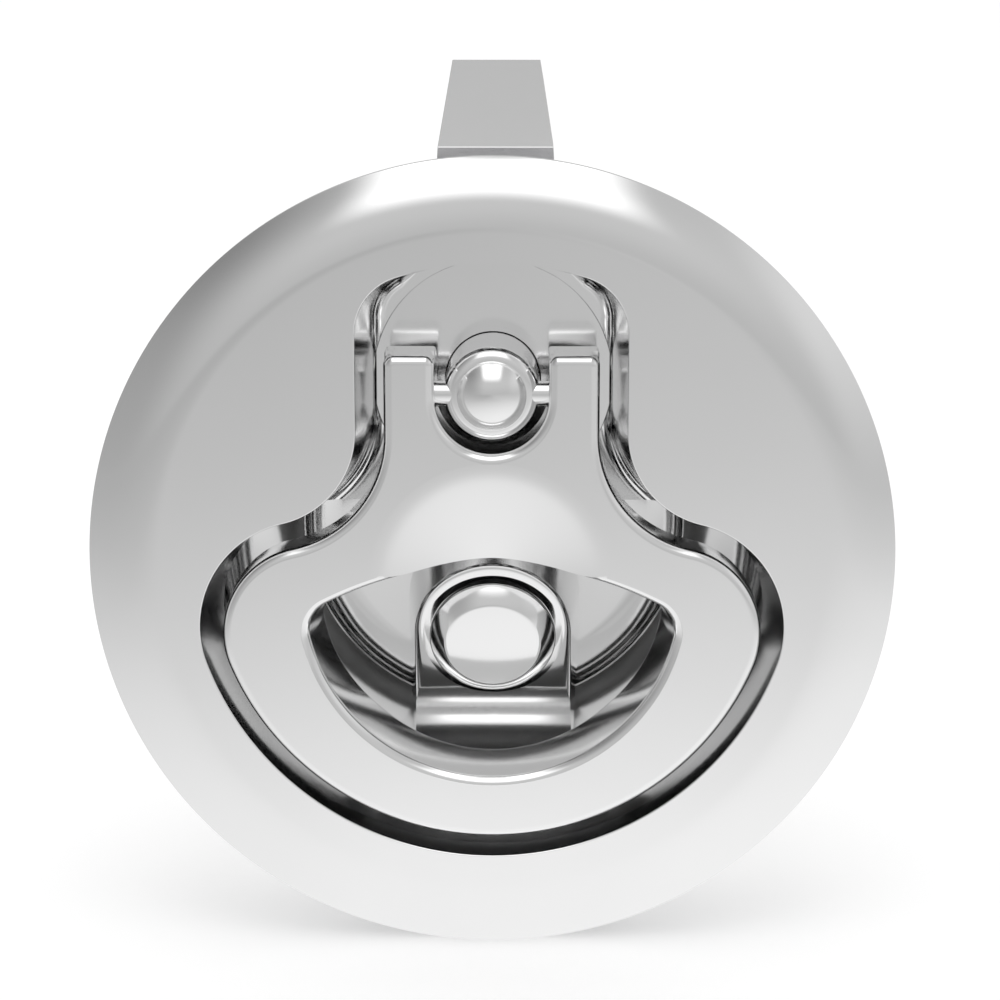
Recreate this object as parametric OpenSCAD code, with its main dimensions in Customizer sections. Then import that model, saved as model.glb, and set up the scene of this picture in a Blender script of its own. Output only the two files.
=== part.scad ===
// Flush lift-and-turn compression latch for a round panel hole.
// +X is right, +Z is up, the front of the latch faces -Y.
// The origin is on the flange axis, in the plane where the flange seats on the panel.

/* [Flange and barrel] */
// Outside diameter of the round flange
flange_d = 76; // [72:0.5:90]
// Thickness of the flange
flange_t = 4; // [3.5:0.1:5]
// Diameter of the flat part of the flange face
face_flat_d = 62.4; // [61:0.2:66]
// Height of the straight edge round the flange
edge_land = 1.2; // [0.8:0.1:2]
// Outside diameter of the threaded barrel
barrel_d = 62.6; // [61.6:0.1:63.4]
// Overall depth of the housing behind its face
housing_depth = 24.5; // [23.5:0.5:30]
// Length of the taper at the back of the barrel
barrel_taper = 6; // [3:0.5:8]
// Inward step of that taper
barrel_taper_in = 2.6; // [1:0.1:3]
// Thickness of the walls round the hollows in the back
housing_wall = 2.6; // [2:0.1:3]
// Thickness of the platform in front of those hollows
core_floor = 3; // [2:0.1:5]

/* [Pocket] */
// Depth of the platform that the handle heels ride on
platform_depth = 11.05; // [10:0.05:13]
// Diameter of the lower pocket
cup_d = 56.8; // [55:0.2:57.6]
// Depth of the flat floor of the lower pocket
cup_depth = 22; // [20.5:0.1:22.5]
// Diameter of that flat floor
cup_floor_d = 33.8; // [30:0.2:36]
// Diameter of the rim of the well in the floor
well_d = 37.6; // [37:0.2:40]
// Depth of the well below the finger scoop
well_h = 3; // [2:0.1:4]
// Radius of the finger scoop round the well
scoop_r = 8.6; // [7:0.1:9]
// Width of the step between the pocket wall and the finger scoop
scoop_step = 0.4; // [0.3:0.1:1]
// Width of the pocket beside the handle arms
channel_w = 25.2; // [24.4:0.2:27]
// Radius of the pocket's wide corners
pocket_corner_r = 10.3; // [9.6:0.1:11]
// Height of the centres of those corners
pocket_corner_z = -6; // [-7:0.1:-5]
// Radius where the channel flares into the lower pocket
pocket_flare_r = 9; // [8:0.1:10]
// Diameter of the arc at the top of the channel
channel_top_d = 57; // [56.4:0.2:58.4]
// Radius of the top corners of the channel
channel_corner_r = 5.5; // [4:0.1:6.5]
// Height where the platform drops into the lower pocket
shelf_z = 4; // [3:0.1:5]

/* [Lift handle] */
// Thickness of the handle plate
handle_t = 5.3; // [4.6:0.1:6]
// Gap between the handle's round end and the lower pocket
handle_gap = 1.8; // [1.2:0.1:2.4]
// Width across the handle arms
arms_w = 20; // [19:0.2:21]
// Width of the notch between the arms
notch_w = 10.6; // [10.2:0.1:11.4]
// Radius of the handle's wide corners
handle_corner_r = 8.45; // [7.5:0.05:9]
// Height of the centres of those corners
handle_corner_z = -6.7; // [-7.5:0.1:-6]
// Radius where the arms flare into the handle's round end
handle_flare_r = 11; // [10:0.1:12]
// Radius of the corners at the ends of the arms
arm_corner_r = 0.9; // [0.4:0.1:1.5]
// Radius of the upper edge of the finger opening
opening_top_r = 34.3; // [30:0.1:40]
// Height of the upper edge of the finger opening
opening_top_z = 0; // [-0.6:0.1:0.6]
// Radius of the lower edge of the finger opening
opening_low_r = 17.7; // [17:0.1:18.2]
// Height of the lower edge of the finger opening
opening_low_z = -20.8; // [-21.4:0.1:-20]
// Radius of the corners of the finger opening
opening_corner_r = 3; // [2:0.1:4]
// Upward slant of the finger opening behind the face, in degrees
opening_tilt = 9; // [0:1:12]
// Diameter of the conical dish in the handle's front
dish_d = 20.2; // [18:0.2:21]
// Depth of that dish at its centre
dish_h = 2.7; // [2:0.1:3.2]
// Height of the centre of the dish
dish_z = -1.7; // [-2.4:0.1:-1]

/* [Cam and pivot] */
// Height of the shaft axis above the flange axis
shaft_z = 15.9; // [15.4:0.1:16.4]
// Depth of the pivot pin behind the flange face
pin_depth = 2.9; // [2.6:0.1:3.2]
// Diameter of the pivot pin
pin_d = 2.4; // [2:0.1:3]
// Distance that lifting the handle lets the shaft move back
stroke = 4; // [3:0.1:4.5]
// Clearance between the heels and the platform
heel_clear = 0.15; // [0.1:0.05:0.3]
// Length of the slope from each heel back to the handle plate
heel_foot = 6; // [4:0.1:8]
// Radial running clearance of pins and shafts
run_clear = 0.05; // [0.02:0.01:0.1]
// Radial clearance of pressed and seated pieces
seat_clear = 0.01; // [0.01:0.01:0.04]

/* [Shaft] */
// Diameter of the shaft
shaft_d = 9; // [8.4:0.1:9.4]
// Depth of the shaft's domed front behind the flange face
head_depth = 0.1; // [0.1:0.1:0.5]
// Diameter of the dome on the shaft's front
dome_d = 6.5; // [5.8:0.1:7]
// Height of that dome
dome_h = 1.5; // [1.2:0.1:1.8]
// Diameter of the threaded end
thread_d = 8; // [7:0.1:8.2]
// Width across the two flats of the threaded end
flats_w = 6.4; // [5.6:0.1:6.8]
// Length of thread that shows behind the rear nut
thread_end = 2; // [1:0.1:4]

/* [Bearing and spring] */
// Diameter of the wear plate set into the platform
wear_plate_d = 23; // [22:0.1:24]
// Thickness of the wear plate
wear_plate_t = 1.2; // [0.8:0.1:1.5]
// Thickness of the lip in front of the shaft seal
lip_t = 1.4; // [1:0.1:2]
// Section diameter of the shaft seal
seal_d = 2.4; // [2:0.1:2.6]
// Outside diameter of the shaft bush
bush_d = 14; // [13:0.1:14.4]
// Length of the shaft bush
bush_h = 4; // [3:0.1:5]
// Wire diameter of the return spring
spring_wire = 1.1; // [0.8:0.05:1.3]
// Outside diameter of the return spring
spring_d = 14.6; // [13.6:0.1:14.8]
// Turns of the return spring
spring_turns = 4.5; // [4:0.5:5]
// Turns laid flat at each end of the spring
flat_turns = 0.75; // [0.5:0.05:1]
// Radial clearance of the spring in its bore
spring_clear = 0.3; // [0.2:0.05:0.5]
// Gap from the housing's back to the stop washer
washer_gap = 2.1; // [1.5:0.1:3]
// Outside diameter of the boss that guides the shaft
guide_d = 22; // [21:0.1:23]

/* [Pawl and fasteners] */
// Thickness of the stop washer
stop_washer_t = 1.2; // [1:0.1:1.6]
// Diameter of the two stop pins
stop_pin_d = 2; // [1.6:0.1:2.2]
// Length of the stop pins behind the housing
stop_pin_l = 9; // [8.5:0.1:11]
// Depth of the stop pins in the housing
stop_pin_depth = 5; // [4:0.1:6]
// Width of the tab on the stop washer
stop_tab_w = 3; // [2.4:0.1:4]
// Angle that the shaft turns between the stop pins, in degrees
turn_angle = 90; // [80:1:95]
// Spare angle at each stop pin, in degrees
stop_spare = 1; // [0.5:0.5:3]
// Thickness of the nuts on the shaft
nut_t = 4; // [3.5:0.1:5]
// Width of the nuts across flats
nut_w = 13; // [12:0.1:14]
// Thickness of the lock washers
lock_washer_t = 0.8; // [0.6:0.1:1.2]
// Outside diameter of the lock washers
lock_washer_d = 13.6; // [12.4:0.1:14.6]
// Thickness of the pawl
pawl_t = 3; // [2.5:0.1:4]
// Width of the pawl at the shaft
pawl_w = 14; // [13:0.1:16]
// Width of the pawl at the bend
pawl_bend_w = 11.8; // [10:0.1:12.5]
// Width of the pawl at its tip
pawl_tip_w = 8.8; // [7:0.1:10]
// Height of the bend above the shaft axis
pawl_bend_z = 20; // [18:0.1:24]
// Length of the bent tip
pawl_tip_l = 11.7; // [8:0.1:14]
// Angle of the bent tip in degrees
pawl_bend_a = 45; // [30:1:55]

/* [Boss and plug] */
// Depth of the boss behind the flange face, at the plug
boss_depth = 8.4; // [8.2:0.1:9.4]
// Height of the plug above the flange axis
plug_z = -8.85; // [-9.6:0.05:-8.4]
// Downward tilt of the plug in degrees
plug_tilt = 18; // [14:1:20]
// Width of the front of the boss
boss_w = 15.2; // [14.6:0.1:16]
// Width of the boss's front below the plug
boss_knee = 0.6; // [0.3:0.1:1.2]
// Slope of the boss below the plug in degrees
boss_slope = 45; // [40:1:55]
// Diameter of the plug head
plug_head_d = 12.2; // [11.6:0.1:13]
// Height of the plug head
plug_head_h = 2; // [1.6:0.1:2.4]
// Chamfer round the plug head
plug_chamfer = 1.5; // [1:0.1:1.6]
// Diameter of the plug stem
plug_stem_d = 8; // [7:0.1:8.6]
// Length of the plug stem
plug_stem_l = 8; // [6:0.1:9]
// Clearance behind the plug stem
plug_end_clear = 0.4; // [0.2:0.1:1]
// Section diameter of the plug seal
plug_seal_d = 1.2; // [1:0.1:1.4]

/* [Panel fastening] */
// Gap between the barrel and the flange gasket
gasket_gap = 1; // [0.6:0.1:1.6]
// Width of the flange gasket
gasket_w = 3; // [2:0.1:3]
// Thickness of the flange gasket
gasket_t = 1.2; // [1:0.1:1.4]
// Thickness of the panel that the latch is fitted to
panel_t = 5; // [3:0.5:6]
// Thickness of the backing washer
backing_t = 1.5; // [1:0.1:2]
// Width of the backing washer from its bore to its edge
backing_w = 5.65; // [4:0.05:7]
// Thickness of the ring nut
ring_nut_t = 6.5; // [5:0.5:7]
// Width of the ring nut from its bore to its edge
ring_nut_w = 4.15; // [3.4:0.05:6]
// Number of spanner slots in the ring nut
ring_nut_slots = 6; // [4:1:8]
// Width of the spanner slots
ring_nut_slot_w = 6; // [4:0.5:8]
// Depth of the spanner slots
ring_nut_slot_h = 2; // [1:0.1:2.5]

/* [Hidden] */

$fn = 96;
eps = 0.01;
over = 1;
arc_steps = 14;
cam_steps = 24;
coil_sides = 10;
coil_steps = 16;

steel = [0.80, 0.81, 0.82];
brushed = [0.70, 0.71, 0.72];
rubber = [0.09, 0.09, 0.10];
bronze = [0.66, 0.50, 0.28];

// Depths along Y, from the flange face backwards
face_y = -flange_t;
back_y = face_y + housing_depth;
platform_y = face_y + platform_depth;
cup_y = face_y + cup_depth;
scoop_y = cup_y - well_h;
pin_y = face_y + pin_depth;
plate_back_y = face_y + handle_t;
plug_y = face_y + boss_depth;

// Stack of pieces behind the platform, from front to back
seal_y = platform_y + wear_plate_t + lip_t;
seal_gland = seal_d + 2 * seat_clear;
bush_y = seal_y + seal_gland;
spring_y = bush_y + bush_h;
washer_y = back_y + washer_gap;
front_nut_y = washer_y + stop_washer_t;
front_lock_y = front_nut_y + nut_t;
pawl_y = front_lock_y + lock_washer_t;
rear_lock_y = pawl_y + pawl_t;
rear_nut_y = rear_lock_y + lock_washer_t;
shaft_end_y = rear_nut_y + nut_t + thread_end;
ring_nut_y = panel_t + backing_t;

// Radii
cup_r = cup_d / 2;
nut_bore_r = barrel_d / 2 + run_clear;
ring_nut_r = nut_bore_r + ring_nut_w;
gasket_r = barrel_d / 2 + gasket_gap;
plug_seal_r = plug_stem_d / 2 + seat_clear + plug_seal_d / 2;
shaft_r = shaft_d / 2;
bore_r = shaft_r + run_clear;
bush_r = bush_d / 2;
spring_bore_r = spring_d / 2 + spring_clear;
stop_pin_r = (spring_bore_r + guide_d / 2) / 2;
handle_r = cup_r - handle_gap;
arm_x = arms_w / 2;
notch_x = notch_w / 2;
dome_r = cap_radius(dome_d / 2, dome_h);
head_round = shaft_r - dome_d / 2;
core_r = barrel_d / 2 - barrel_taper_in - housing_wall;

// Cam of the heels: the reach from the pin to the platform falls evenly as the handle lifts
heel_reach = platform_depth - pin_depth - heel_clear;
lift_angle = 90;
cam_rate = stroke * 180 / (PI * lift_angle);
arm_top_z = shaft_z + heel_reach - stroke;

// Stops of the turn: the tab points down at rest, and each pin stands half a tab and half a pin from it
tab_angle = 270;
stop_half_a = asin((stop_tab_w + stop_pin_d) / 2 / stop_pin_r) + stop_spare;

// Radius of the sphere that a cap of some radius and height is cut from
function cap_radius(r, h) = (pow(r, 2) + pow(h, 2)) / (2 * h);

// Points of an arc about a centre
function arc(centre, r, from, to) =
    [for (i = [0 : arc_steps]) let (a = from + (to - from) * i / arc_steps)
        centre + r * [cos(a), sin(a)]];

// Right half of the bell outline that the handle and its pocket share, from the bottom upwards
function bell_side(half_w, big_r, corner_r, corner_z, flare_r) =
    let (corner_x = sqrt(pow(big_r - corner_r, 2) - pow(corner_z, 2)))
    let (low_a = atan2(corner_z, corner_x))
    let (flare_x = half_w + flare_r)
    let (flare_z = corner_z + sqrt(pow(flare_r + corner_r, 2) - pow(flare_x - corner_x, 2)))
    let (turn_a = atan2(flare_z - corner_z, flare_x - corner_x))
    concat(
        arc([0, 0], big_r, -90, low_a),
        arc([corner_x, corner_z], corner_r, low_a, turn_a),
        arc([flare_x, flare_z], flare_r, turn_a + 180, 180));

// Right half of the pocket's upper end
function channel_end(half_w, top_r, corner_r) =
    let (corner_x = half_w - corner_r)
    let (corner_z = sqrt(pow(top_r - corner_r, 2) - pow(corner_x, 2)))
    let (top_a = atan2(corner_z, corner_x))
    concat(
        arc([corner_x, corner_z], corner_r, 0, top_a),
        arc([0, 0], top_r, top_a, 90));

// Right half of the finger opening, from its lowest point upwards
function opening_side() =
    let (top_c = opening_top_z - opening_top_r)
    let (low_c = opening_low_z + opening_low_r)
    let (top_l = opening_top_r - opening_corner_r)
    let (low_l = opening_low_r - opening_corner_r)
    let (corner_z = ((pow(top_l, 2) - pow(low_l, 2)) / (low_c - top_c) + top_c + low_c) / 2)
    let (corner_x = sqrt(pow(low_l, 2) - pow(corner_z - low_c, 2)))
    let (low_a = atan2(corner_z - low_c, corner_x))
    let (top_a = atan2(corner_z - top_c, corner_x))
    concat(
        arc([0, low_c], opening_low_r, -90, low_a),
        arc([corner_x, corner_z], opening_corner_r, low_a, top_a),
        arc([0, top_c], opening_top_r, top_a, 90));

// Cam curve of a heel about the pin, as depth and height: an involute
function heel_cam() =
    [for (i = [0 : cam_steps]) let (a = lift_angle * (1 - i / cam_steps))
        let (reach = heel_reach - stroke * a / lift_angle)
        [reach * cos(a) + cam_rate * sin(a), reach * sin(a) - cam_rate * cos(a)]];

// Outline made whole from its right half, which starts and ends on the middle line
module mirrored_outline(side) {
    polygon(concat(side, [for (i = [len(side) - 2 : -1 : 1]) [-side[i].x, side[i].y]]));
}

// Plate between two depths, from an outline in X and Z
module plate(y0, y1) {
    translate([0, y1, 0]) rotate([90, 0, 0]) linear_extrude(y1 - y0) children();
}

// Solid turned about the flange axis, from a profile in radius and depth
module turned() {
    rotate([-90, 0, 0]) rotate_extrude() children();
}

// Solid turned about the shaft axis
module turned_on_shaft() {
    translate([0, 0, shaft_z]) turned() children();
}

// Solid turned about the plug axis, with depth counted from the front of the boss
module turned_on_plug() {
    translate([0, plug_y, plug_z]) rotate([plug_tilt, 0, 0]) turned() children();
}

// Round bar along X at the pivot
module pivot_bar(d, l) {
    translate([-l / 2, pin_y, shaft_z]) rotate([0, 90, 0]) cylinder(d = d, h = l);
}

// Ring profile
module ring_profile(r0, r1, y0, y1) {
    translate([r0, y0]) square([r1 - r0, y1 - y0]);
}

// Two flats that key a piece to the threaded end
module keyed_disc(clear) {
    intersection() {
        circle(d = thread_d + 2 * clear);
        square([flats_w + 2 * clear, thread_d * 2], center = true);
    }
}

// Profile of the flange: flat face, round rim and straight edge
module flange_profile() {
    flat_r = face_flat_d / 2;
    rim_w = flange_d / 2 - flat_r;
    rim_h = flange_t - edge_land;
    rim_r = cap_radius(rim_w, rim_h);
    ring_profile(0, flat_r + eps, face_y, 0);
    intersection() {
        translate([flat_r, face_y + rim_r]) circle(r = rim_r);
        ring_profile(flat_r, flange_d / 2, face_y, 0);
    }
}

// Profile of the barrel with its tapered back
module barrel_profile() {
    r = barrel_d / 2;
    polygon([[0, -eps], [r, -eps], [r, back_y - barrel_taper], [r - barrel_taper_in, back_y],
        [0, back_y]]);
}

// Profile of the lower pocket below the platform: finger scoop, well and floor
module cup_profile() {
    rim_r = cup_r - scoop_step;
    scoop_in = rim_r - scoop_r;
    ring_profile(0, scoop_in + eps, platform_y - over, scoop_y);
    intersection() {
        union() {
            translate([scoop_in, scoop_y - scoop_r]) circle(r = scoop_r);
            ring_profile(scoop_in, rim_r, platform_y - over, scoop_y - scoop_r);
        }
        ring_profile(scoop_in, rim_r, platform_y - over, scoop_y);
    }
    polygon([[0, scoop_y - eps], [well_d / 2, scoop_y - eps], [cup_floor_d / 2, cup_y], [0, cup_y]]);
}

module pocket_outline() {
    mirrored_outline(concat(
        bell_side(channel_w / 2, cup_r, pocket_corner_r, pocket_corner_z, pocket_flare_r),
        channel_end(channel_w / 2, channel_top_d / 2, channel_corner_r)));
}

module pocket() {
    plate(face_y - over, platform_y) pocket_outline();
    intersection() {
        turned() cup_profile();
        plate(face_y - over, cup_y + over) intersection() {
            pocket_outline();
            translate([-flange_d, shelf_z - 2 * flange_d]) square(2 * flange_d);
        }
    }
}

// Round-topped boss for the plug, with a front that tilts down and then slopes back for the fingers
module boss() {
    half_w = boss_w / 2;
    crown_z = plug_z + half_w + over;
    crown_y = plug_y - (crown_z - plug_z) * tan(plug_tilt);
    knee_z = plug_z - plug_head_d / 2 - boss_knee;
    knee_y = plug_y + (plug_z - knee_z) * tan(plug_tilt);
    foot_z = -cup_r - over;
    foot_y = knee_y + (knee_z - foot_z) * tan(90 - boss_slope);
    base_y = cup_y + over;
    intersection() {
        plate(face_y, base_y) {
            translate([0, plug_z]) circle(d = boss_w);
            translate([-half_w, foot_z]) square([boss_w, plug_z - foot_z]);
        }
        translate([-boss_w, 0, 0]) rotate([90, 0, 90]) linear_extrude(2 * boss_w)
            polygon([[crown_y, crown_z], [knee_y, knee_z], [foot_y, foot_z - over],
                [base_y + over, foot_z - over], [base_y + over, crown_z]]);
    }
}

// Hollows behind the platform, one on each side of the shaft guide
module core() {
    plate(platform_y + core_floor, back_y + over) difference() {
        intersection() {
            circle(r = core_r);
            translate([-core_r, shelf_z + housing_wall]) square(2 * core_r);
        }
        translate([0, shaft_z]) circle(d = guide_d);
        translate([-housing_wall / 2, shaft_z]) square([housing_wall, core_r]);
    }
}

// Places of the two pins that the tab meets, at rest and after the turn
module stop_pin_places() {
    for (a = [tab_angle + stop_half_a, tab_angle - turn_angle - stop_half_a])
        translate([stop_pin_r * cos(a), 0, shaft_z + stop_pin_r * sin(a)]) children();
}

module housing() {
    color(steel) difference() {
        union() {
            turned() flange_profile();
            turned() barrel_profile();
        }
        difference() {
            pocket();
            boss();
        }
        core();
        // Seat of the wear plate, shaft bore, seal and bush bore, spring bore
        turned_on_shaft()
            ring_profile(0, wear_plate_d / 2 + seat_clear, platform_y - eps, platform_y + wear_plate_t);
        turned_on_shaft() ring_profile(0, bore_r, platform_y, back_y + over);
        turned_on_shaft() ring_profile(0, bush_r + seat_clear, seal_y, back_y + over);
        turned_on_shaft() ring_profile(0, spring_bore_r, spring_y, back_y + over);
        // Seat of the flange gasket
        turned() ring_profile(gasket_r - seat_clear, gasket_r + gasket_w + seat_clear, -gasket_t, over);
        // Bores of the stop pins
        stop_pin_places() translate([0, back_y - stop_pin_depth, 0]) rotate([-90, 0, 0])
            cylinder(d = stop_pin_d + 2 * seat_clear, h = stop_pin_depth + over);
        // Bore of the blank plug, with the seat of its seal
        turned_on_plug() ring_profile(0, plug_stem_d / 2 + seat_clear, -over, plug_stem_l + plug_end_clear);
        turned_on_plug()
            ring_profile(0, plug_seal_r + plug_seal_d / 2 + seat_clear, -over, plug_seal_d);
    }
}

module flange_gasket() {
    color(rubber) turned() ring_profile(gasket_r, gasket_r + gasket_w, -gasket_t, 0);
}

module backing_washer() {
    color(steel) turned() ring_profile(nut_bore_r, nut_bore_r + backing_w, panel_t, ring_nut_y);
}

module ring_nut() {
    slot_in = ring_nut_r - ring_nut_slot_h;
    color(brushed) difference() {
        turned() ring_profile(nut_bore_r, ring_nut_r, ring_nut_y, ring_nut_y + ring_nut_t);
        for (i = [0 : ring_nut_slots - 1])
            rotate([0, i * 360 / ring_nut_slots, 0])
                translate([slot_in, ring_nut_y - over, -ring_nut_slot_w / 2])
                    cube([ring_nut_slot_h + over, ring_nut_t + 2 * over, ring_nut_slot_w]);
    }
}

module wear_plate() {
    color(steel) turned_on_shaft()
        ring_profile(bore_r, wear_plate_d / 2, platform_y, platform_y + wear_plate_t);
}

module shaft_bush() {
    color(bronze) turned_on_shaft() ring_profile(bore_r, bush_r, bush_y, bush_y + bush_h);
}

module shaft_seal() {
    color(rubber) turned_on_shaft()
        translate([bore_r + seal_d / 2, seal_y + seal_gland / 2]) circle(d = seal_d);
}

module stop_pins() {
    color(brushed) stop_pin_places() translate([0, back_y - stop_pin_depth, 0]) rotate([-90, 0, 0])
        cylinder(d = stop_pin_d, h = stop_pin_depth + stop_pin_l);
}

module blank_plug() {
    head_r = plug_head_d / 2;
    stem_r = plug_stem_d / 2;
    color(steel) turned_on_plug()
        polygon([[0, -plug_head_h], [head_r - plug_chamfer, -plug_head_h],
            [head_r, -plug_head_h + plug_chamfer], [head_r, -seat_clear], [stem_r, -seat_clear],
            [stem_r, plug_stem_l], [0, plug_stem_l]]);
}

module plug_seal() {
    color(rubber) turned_on_plug()
        translate([plug_seal_r, plug_seal_d / 2]) circle(d = plug_seal_d - 2 * seat_clear);
}

// Coil of round wire, swept ring by ring, with its end turns laid flat
module return_spring() {
    mean_r = (spring_d - spring_wire) / 2;
    rise = washer_y - spring_y - spring_wire - 2 * seat_clear;
    rings = ceil(spring_turns * coil_steps);
    live_turns = spring_turns - 2 * flat_turns;
    function climb(t) = max(0, min(1, (t * spring_turns - flat_turns) / live_turns));
    points = [for (i = [0 : rings]) let (t = i / rings, a = t * spring_turns * 360)
        for (j = [0 : coil_sides - 1]) let (b = j * 360 / coil_sides, r = mean_r + spring_wire / 2 * cos(b))
            [r * cos(a), r * sin(a), spring_wire / 2 + rise * climb(t) + spring_wire / 2 * sin(b)]];
    sides = [for (i = [0 : rings - 1]) for (j = [0 : coil_sides - 1])
        let (k = (j + 1) % coil_sides, p = i * coil_sides, q = p + coil_sides)
            [p + j, q + j, q + k, p + k]];
    ends = [[for (j = [0 : coil_sides - 1]) j],
        [for (j = [0 : coil_sides - 1]) rings * coil_sides + coil_sides - 1 - j]];
    color(brushed) translate([0, spring_y + seat_clear, shaft_z]) rotate([-90, 0, 0])
        polyhedron(points, concat(sides, ends));
}

module pivot_shaft() {
    shoulder_y = face_y + head_depth + dome_h;
    color(steel) difference() {
        union() {
            turned_on_shaft() {
                intersection() {
                    translate([0, face_y + head_depth + dome_r]) circle(r = dome_r, $fn = 4 * $fn);
                    ring_profile(0, dome_d / 2, face_y, shoulder_y + eps);
                }
                intersection() {
                    translate([dome_d / 2, shoulder_y + head_round]) circle(r = head_round);
                    ring_profile(dome_d / 2, shaft_r, shoulder_y, shoulder_y + head_round + eps);
                }
                ring_profile(0, dome_d / 2 + eps, shoulder_y, shoulder_y + head_round + eps);
                ring_profile(0, shaft_r, shoulder_y + head_round, washer_y);
            }
            plate(washer_y - eps, shaft_end_y) translate([0, shaft_z]) keyed_disc(0);
        }
        pivot_bar(pin_d + 2 * seat_clear, 2 * shaft_d);
    }
}

module pivot_pin() {
    color(brushed) pivot_bar(pin_d, arms_w - 2 * run_clear);
}

module stop_washer() {
    disc_r = spring_d / 2;
    color(brushed) plate(washer_y, front_nut_y) translate([0, shaft_z]) difference() {
        union() {
            circle(r = disc_r);
            rotate(tab_angle) translate([0, -stop_tab_w / 2])
                square([stop_pin_r + stop_pin_d, stop_tab_w]);
        }
        keyed_disc(run_clear);
    }
}

module hex_nut(y) {
    color(brushed) plate(y, y + nut_t) translate([0, shaft_z]) difference() {
        circle(d = nut_w / cos(30), $fn = 6);
        circle(d = thread_d + 2 * seat_clear);
    }
}

module lock_washer(y) {
    color(brushed) turned_on_shaft()
        ring_profile(thread_d / 2 + run_clear, lock_washer_d / 2, y, y + lock_washer_t);
}

module front_nut() {
    hex_nut(front_nut_y);
}

module rear_nut() {
    hex_nut(rear_nut_y);
}

module front_lock_washer() {
    lock_washer(front_lock_y);
}

module rear_lock_washer() {
    lock_washer(rear_lock_y);
}

// Bent plate: a round foot on the shaft, a tapering arm and a tip that leans back
module pawl() {
    tip_y = pawl_tip_l * sin(pawl_bend_a);
    tip_z = pawl_tip_l * cos(pawl_bend_a);
    half_a = pawl_bend_a / 2;
    bend_z = shaft_z + pawl_bend_z;
    foot_z = shaft_z - pawl_w / 2 - over;
    back_z = pawl_t * tan(half_a);
    tip_back = [pawl_t * cos(pawl_bend_a), -pawl_t * sin(pawl_bend_a)];
    top_z = bend_z + tip_z;
    color(steel) intersection() {
        difference() {
            translate([-pawl_w, pawl_y, 0]) rotate([90, 0, 90]) linear_extrude(2 * pawl_w)
                polygon([[0, foot_z], [0, bend_z], [tip_y, top_z], [tip_y, top_z] + tip_back,
                    [pawl_t, bend_z - back_z], [pawl_t, foot_z]]);
            plate(pawl_y - over, rear_lock_y + over) translate([0, shaft_z]) keyed_disc(run_clear);
        }
        plate(pawl_y - over, pawl_y + tip_y + pawl_t + over) {
            translate([0, shaft_z]) circle(d = pawl_w);
            polygon([[-pawl_w / 2, shaft_z], [pawl_w / 2, shaft_z],
                [pawl_bend_w / 2, bend_z], [pawl_tip_w / 2, top_z + over],
                [-pawl_tip_w / 2, top_z + over], [-pawl_bend_w / 2, bend_z]]);
        }
    }
}

// Outline of the handle: the bell with its two arms and the notch for the shaft
module handle_outline() {
    difference() {
        mirrored_outline(concat(
            bell_side(arm_x, handle_r, handle_corner_r, handle_corner_z, handle_flare_r),
            arc([arm_x - arm_corner_r, arm_top_z - arm_corner_r], arm_corner_r, 0, 90),
            [[0, arm_top_z]]));
        translate([0, shaft_z]) circle(r = notch_x);
        translate([-notch_x, shaft_z]) square([notch_w, arm_top_z]);
    }
}

// Finger opening, cut along a line that rises behind the face
module finger_opening() {
    mid_z = (opening_top_z + opening_low_z) / 2;
    spare = (opening_top_z - opening_low_z) / 2 * sin(opening_tilt) + over;
    translate([0, face_y, mid_z]) rotate([opening_tilt, 0, 0])
        plate(-spare, handle_t / cos(opening_tilt) + spare)
            translate([0, -mid_z]) mirrored_outline(opening_side());
}

// Side of an arm about the pin: end face, cam heel and the slope back to the plate
module arm_side() {
    plate_y = plate_back_y - pin_y;
    polygon(concat(
        [[-pin_depth + eps, heel_reach - stroke]],
        heel_cam(),
        [[plate_y - eps, -cam_rate - heel_foot], [-pin_depth + eps, -cam_rate - heel_foot]]));
}

// Conical dish that leads the finger tips into the opening
module dish() {
    slope = dish_d / 2 / dish_h;
    translate([0, 0, dish_z]) turned()
        polygon([[0, face_y - over], [dish_d / 2 + over * slope, face_y - over], [0, face_y + dish_h]]);
}

module lift_handle() {
    color(steel) difference() {
        union() {
            plate(face_y, plate_back_y) handle_outline();
            intersection() {
                translate([-arm_x, pin_y, shaft_z]) rotate([90, 0, 90]) linear_extrude(arms_w) arm_side();
                plate(face_y, platform_y) handle_outline();
            }
        }
        finger_opening();
        pivot_bar(pin_d + 2 * run_clear, arms_w + 2 * over);
        dish();
    }
}

housing();
flange_gasket();
backing_washer();
ring_nut();
wear_plate();
shaft_bush();
shaft_seal();
stop_pins();
blank_plug();
plug_seal();
return_spring();
pivot_shaft();
pivot_pin();
stop_washer();
front_nut();
front_lock_washer();
pawl();
rear_lock_washer();
rear_nut();
lift_handle();
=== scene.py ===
import math

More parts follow.
